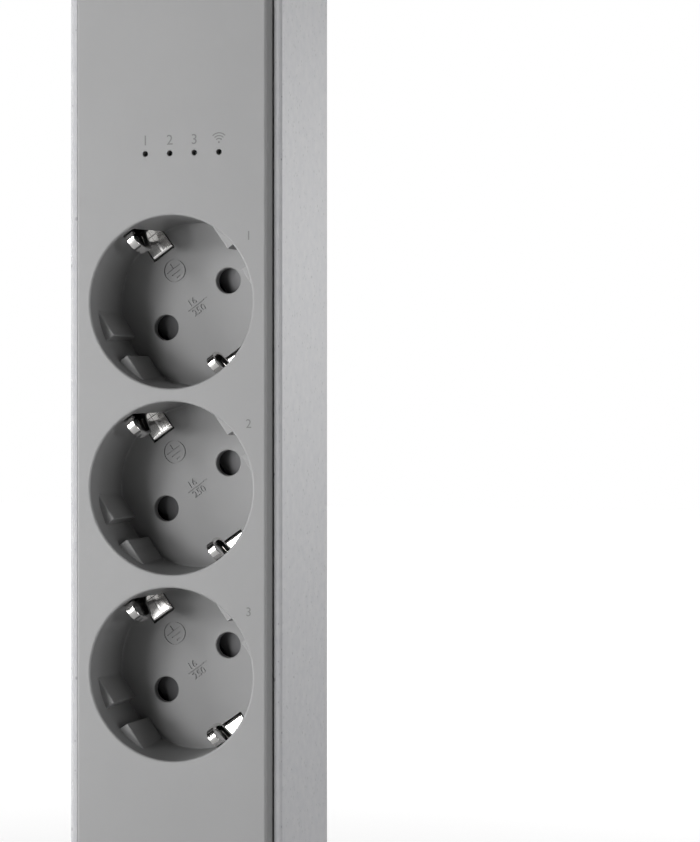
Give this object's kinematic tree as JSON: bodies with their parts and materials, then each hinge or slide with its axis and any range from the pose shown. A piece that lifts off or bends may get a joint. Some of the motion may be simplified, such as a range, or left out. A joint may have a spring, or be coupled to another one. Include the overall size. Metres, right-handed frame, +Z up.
{
  "type": "power strip",
  "caption": "Upright power strip: pale tray housing, proud grey face with round earthed sockets with shutters, status lights, a button and USB ports.",
  "frame": {"origin": "centre of the bottom end, on the surface that the strip stands on", "axes": "+Z up along the strip's length, -Y out of the front face with the sockets, +X to the right seen from the front"},
  "size_m": [0.052, 0.0396, 0.2862],
  "materials": {
    "recycled_housing": "matte moulded plastic from recycled granulate, pale grey with fine dark specks",
    "cover_grey": "smooth matte moulded plastic, mid grey",
    "shutter_grey": "moulded plastic, dark grey",
    "block_black": "moulded insulating plastic, black",
    "relay_black": "glossy black plastic case",
    "board_green": "glass-fibre circuit board with green solder mask",
    "capacitor_yellow": "yellow tape and epoxy",
    "nickel_spring": "nickel-plated spring steel",
    "brass_contact": "stamped brass",
    "steel_screw": "zinc-plated steel",
    "clear_guide": "clear plastic and glass",
    "rubber_black": "black rubber"
  },
  "bodies": {
    "housing": {"button_spring": "nickel_spring", "cable_inlet_bush": "rubber_black", "clamp_screw_1": "steel_screw", "clamp_screw_2": "steel_screw", "contact_block_1": "block_black", "contact_block_2": "block_black", "contact_block_3": "block_black", "control_board": "board_green", "cord_clamp": "block_black", "earth_clip_1": "nickel_spring", "earth_clip_2": "nickel_spring", "earth_clip_3": "nickel_spring", "earth_rail": "brass_contact", "foot_pad_1": "rubber_black", "foot_pad_2": "rubber_black", "foot_pad_3": "rubber_black", "foot_pad_4": "rubber_black", "front_cover": "cover_grey", "fuse": "clear_guide", "housing_screw_1": "steel_screw", "housing_screw_2": "steel_screw", "housing_screw_3": "steel_screw", "housing_screw_4": "steel_screw", "housing_screw_5": "steel_screw", "housing_screw_6": "steel_screw", "housing_tray": "recycled_housing", "light_guide": "clear_guide", "live_contact_1": "brass_contact", "live_contact_2": "brass_contact", "live_contact_3": "brass_contact", "mains_capacitor": "block_black", "neutral_rail": "brass_contact", "relay_1": "relay_black", "relay_2": "relay_black", "relay_3": "relay_black", "shutter_spring_1": "nickel_spring", "shutter_spring_2": "nickel_spring", "shutter_spring_3": "nickel_spring", "socket_well_1": "cover_grey", "socket_well_2": "cover_grey", "socket_well_3": "cover_grey", "surge_varistor": "capacitor_yellow", "tact_switch": "block_black", "transformer": "capacitor_yellow", "usb_a_port": "nickel_spring", "usb_board": "board_green", "usb_c_port": "nickel_spring", "usb_capacitor": "block_black", "usb_transformer": "capacitor_yellow", "wifi_module": "board_green"},
    "button": {"button_cap": "cover_grey"},
    "shutter_1": {"shutter_1": "shutter_grey"},
    "shutter_2": {"shutter_2": "shutter_grey"},
    "shutter_3": {"shutter_3": "shutter_grey"}
  },
  "joints": [
    {"name": "button_press", "type": "slide", "parent": "housing", "child": "button", "axis": [0, 1, 0], "range_m": [0, 0.0008], "stiffness_N_per_m": 900, "springref_m": -0.0008, "deforming": ["button_spring"]},
    {"name": "shutter_1_slide", "type": "slide", "parent": "housing", "child": "shutter_1", "axis": [0.8192, 0, 0.5736], "range_m": [0, 0.0059], "stiffness_N_per_m": 60, "springref_m": -0.002, "deforming": ["shutter_spring_1"]},
    {"name": "shutter_2_slide", "type": "slide", "parent": "housing", "child": "shutter_2", "axis": [0.8192, 0, 0.5736], "range_m": [0, 0.0059], "stiffness_N_per_m": 60, "springref_m": -0.002, "deforming": ["shutter_spring_2"]},
    {"name": "shutter_3_slide", "type": "slide", "parent": "housing", "child": "shutter_3", "axis": [0.8192, 0, 0.5736], "range_m": [0, 0.0059], "stiffness_N_per_m": 60, "springref_m": -0.002, "deforming": ["shutter_spring_3"]}
  ]
}
